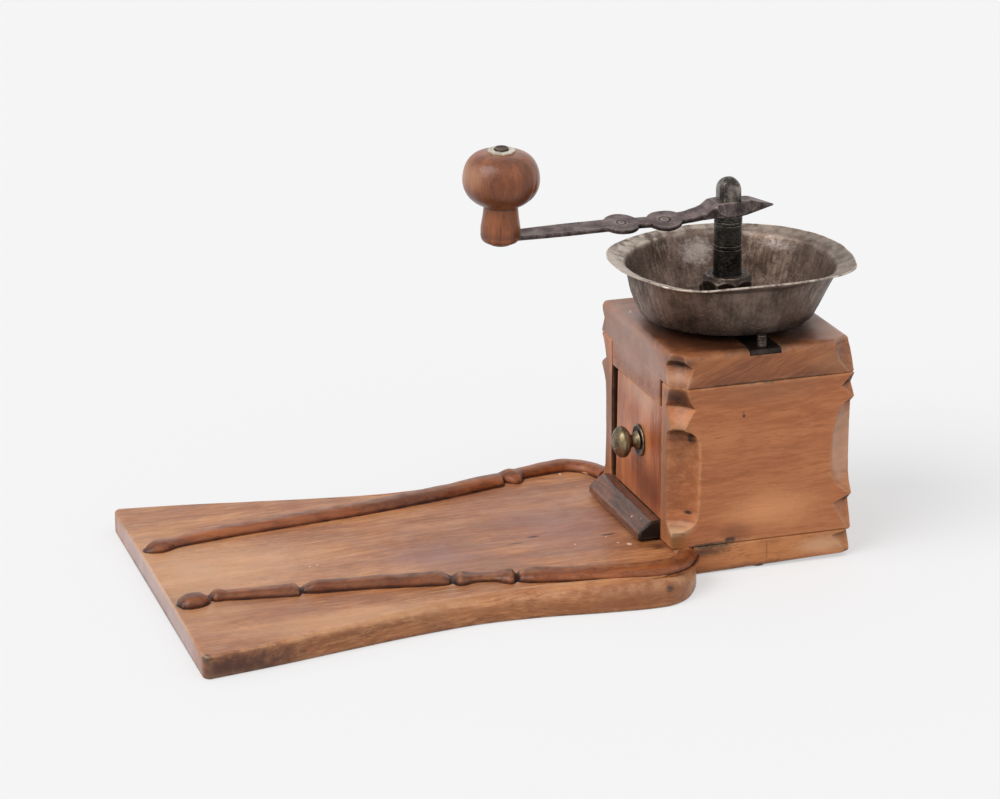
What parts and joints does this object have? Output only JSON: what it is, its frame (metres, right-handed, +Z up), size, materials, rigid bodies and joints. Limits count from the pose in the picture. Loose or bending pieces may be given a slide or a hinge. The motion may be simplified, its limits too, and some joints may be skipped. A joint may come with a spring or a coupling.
{
  "type": "manual coffee grinder",
  "caption": "Wooden box coffee mill with a long seat board, a flared iron hopper, a forged crank with a wooden knob, and a drawer for the grounds.",
  "frame": {"origin": "on the crank's axis, at the level of the surface that the grinder stands on", "axes": "+X from the drawer towards the back of the box, so the seat board reaches to -X; +Y to the far side; +Z up along the crank's axis"},
  "size_m": [0.4173, 0.241, 0.2499],
  "materials": {
    "body_wood": "worn wax",
    "board_wood": "worn wax",
    "drawer_wood": "worn wax",
    "knob_wood": "polished by hands",
    "plain_wood": "bare",
    "dark_wood": "dark and worn",
    "tinned_iron": "dull tin, stained",
    "forged_iron": "forged and pitted",
    "black_iron": "blackened",
    "screw_steel": "worn",
    "old_brass": "tarnished"
  },
  "bodies": {
    "mill": {"seat_board": "board_wood", "base_block": "body_wood", "near_side_panel": "body_wood", "far_side_panel": "body_wood", "back_panel": "body_wood", "head_block": "body_wood", "near_runner": "plain_wood", "far_runner": "plain_wood", "drawer_sill": "dark_wood", "near_foot_stud": "black_iron", "far_foot_stud": "black_iron", "near_tongue_screw": "screw_steel", "far_tongue_screw": "screw_steel", "near_front_base_screw": "screw_steel", "near_back_base_screw": "screw_steel", "far_front_base_screw": "screw_steel", "far_back_base_screw": "screw_steel", "mounting_plate": "forged_iron", "near_plate_stud": "screw_steel", "far_plate_stud": "screw_steel", "burr_housing": "black_iron", "hopper_bowl": "tinned_iron", "bearing_bridge": "forged_iron", "near_bearing_screw": "screw_steel", "far_bearing_screw": "screw_steel", "lower_bridge": "forged_iron", "near_bridge_screw": "screw_steel", "far_bridge_screw": "screw_steel"},
    "crank": {"drive_shaft": "black_iron", "inner_burr": "black_iron", "crank_arm": "forged_iron", "knob_spindle": "screw_steel", "knob_washer": "old_brass"},
    "knob": {"wooden_knob": "knob_wood"},
    "drawer": {"drawer_front": "drawer_wood", "drawer_near_side": "plain_wood", "drawer_far_side": "plain_wood", "drawer_back": "plain_wood", "drawer_bottom": "plain_wood", "knob_rose": "old_brass", "drawer_knob": "old_brass"},
    "adjuster": {"adjusting_screw": "screw_steel"}
  },
  "joints": [
    {"name": "crank_spin", "type": "hinge", "parent": "mill", "child": "crank", "pos_m": [0, 0, 0.15], "axis": [0, 0, 1], "continuous": true},
    {"name": "knob_spin", "type": "hinge", "parent": "crank", "child": "knob", "pos_m": [-0.1391, 0, 0.1975], "axis": [0, -0.0523, 0.9986], "continuous": true},
    {"name": "drawer_slide", "type": "slide", "parent": "mill", "child": "drawer", "axis": [-1, 0, 0], "range_m": [0, 0.08]},
    {"name": "adjuster_turn", "type": "hinge", "parent": "mill", "child": "adjuster", "pos_m": [0, 0, 0.09], "axis": [0, 0, 1], "range_deg": [-180, 180]}
  ]
}
